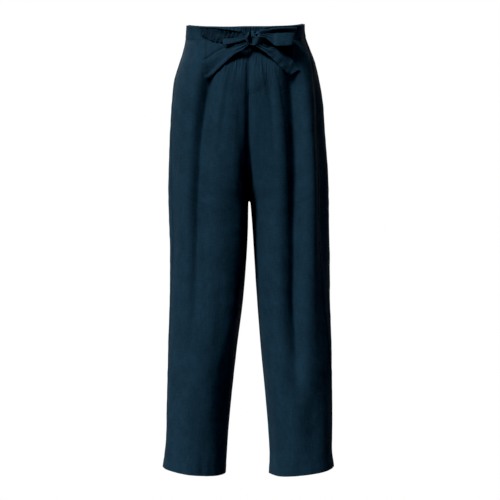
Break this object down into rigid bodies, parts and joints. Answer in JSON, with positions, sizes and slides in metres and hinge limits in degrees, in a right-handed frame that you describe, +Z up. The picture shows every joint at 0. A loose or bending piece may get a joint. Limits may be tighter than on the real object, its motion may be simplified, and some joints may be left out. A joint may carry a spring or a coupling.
{
  "type": "samue trousers",
  "caption": "Loose straight trousers of plain cloth, worn and hollow, with a flat waistband and a sewn tie knotted in a bow at the front.",
  "frame": {"origin": "middle of the waist opening, half way up the waistband, on the centre seam plane", "axes": "+Z up, -Y to the front, +X to the wearer's left"},
  "size_m": [0.3776, 0.2543, 0.9926],
  "materials": {
    "cloth": "matt plain-woven cotton, dark indigo",
    "tie": "the same cloth, folded and stitched flat"
  },
  "bodies": {
    "root": {"front_right": "cloth", "front_left": "cloth", "back_right": "cloth", "back_left": "cloth", "waistband_right": "cloth", "waistband_left": "cloth", "fly": "cloth", "tie_strap_right": "tie", "tie_strap_left": "tie", "tie_knot": "tie", "tie_loop_right": "tie", "tie_loop_left": "tie", "tie_tail_right": "tie", "tie_tail_left": "tie"}
  },
  "joints": []
}
